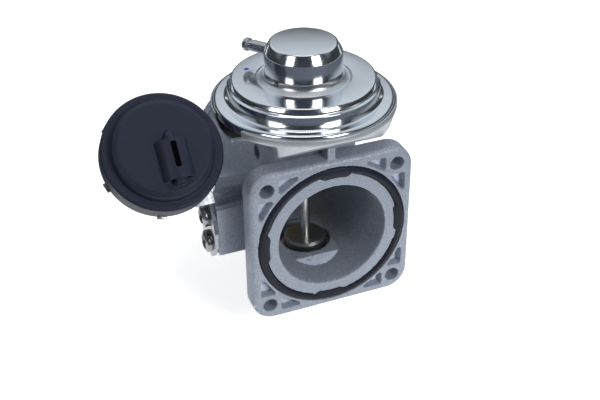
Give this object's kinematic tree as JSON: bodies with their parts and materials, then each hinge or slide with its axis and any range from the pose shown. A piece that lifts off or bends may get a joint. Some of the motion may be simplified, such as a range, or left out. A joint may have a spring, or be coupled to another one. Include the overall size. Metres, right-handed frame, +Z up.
{
  "type": "exhaust gas recirculation valve",
  "caption": "Cast duct with a square flange, a diaphragm-lifted poppet gas valve in a stepped steel can, and an intake flap worked by a vacuum actuator.",
  "frame": {"origin": "centre of the bore on the face of the square outlet flange", "axes": "-Y is the outward normal of the square flange, +Y runs along the duct to the hose end, +Z is up along the valve stem"},
  "size_m": [0.138, 0.1177, 0.1315],
  "materials": {
    "cast_aluminium": "cast, matt, fine grain",
    "black_rubber": "matt",
    "chromed_steel": "polished",
    "zinc_sheet": "zinc plated, satin",
    "nipple_steel": "plated, satin",
    "machined_steel": "turned and ground",
    "guide_bronze": "sintered bronze",
    "flap_brass": "satin",
    "fastener_steel": "zinc plated",
    "spring_steel": "drawn wire",
    "black_plastic": "moulded, fine texture",
    "guide_plastic": "natural",
    "lever_steel": "zinc plated"
  },
  "bodies": {
    "root": {"housing": "cast_aluminium", "flange_o_ring": "black_rubber", "valve_seat": "machined_steel", "stem_guide": "guide_bronze", "stem_seal": "black_rubber", "seal_cap": "zinc_sheet", "can_cradle": "zinc_sheet", "lower_can": "zinc_sheet", "upper_can": "chromed_steel", "can_nipple": "nipple_steel", "can_screws": "fastener_steel", "valve_diaphragm": "black_rubber", "valve_spring": "spring_steel", "shaft_bush_left": "guide_bronze", "shaft_bush_right": "guide_bronze", "shaft_seal": "black_rubber", "shaft_plug": "zinc_sheet", "actuator_bracket": "zinc_sheet", "bracket_screws": "fastener_steel", "actuator_base": "zinc_sheet", "actuator_cover": "black_plastic", "actuator_nuts": "fastener_steel", "rod_guide": "guide_plastic", "actuator_diaphragm": "black_rubber", "actuator_spring": "spring_steel"},
    "valve": {"valve_stem": "machined_steel", "valve_disc": "machined_steel", "diaphragm_plate_lower": "zinc_sheet", "diaphragm_plate_upper": "zinc_sheet", "stem_nut": "fastener_steel"},
    "flap": {"flap_shaft": "machined_steel", "flap_plate": "flap_brass", "flap_screws": "fastener_steel", "flap_lever": "lever_steel", "lever_nut": "fastener_steel"},
    "rod": {"actuator_rod": "machined_steel", "actuator_piston": "zinc_sheet", "rod_pin": "machined_steel", "pin_clip": "fastener_steel"}
  },
  "joints": [
    {"name": "valve_lift", "type": "slide", "parent": "root", "child": "valve", "axis": [0, 0, 1], "range_m": [0, 0.0065], "stiffness_N_per_m": 1500, "deforming": ["valve_spring", "valve_diaphragm"]},
    {"name": "flap_turn", "type": "hinge", "parent": "root", "child": "flap", "pos_m": [0, 0.083, 0], "axis": [-1, 0, 0], "range_deg": [0, 80]},
    {"name": "actuator_stroke", "type": "slide", "parent": "root", "child": "rod", "axis": [0, -0.7071, 0.7071], "range_m": [0, 0.01516], "stiffness_N_per_m": 300, "deforming": ["actuator_spring", "actuator_diaphragm"]}
  ],
  "couplings": [
    {"joint": "flap_turn", "follows": "actuator_stroke", "rad_per_m": 92.122}
  ]
}
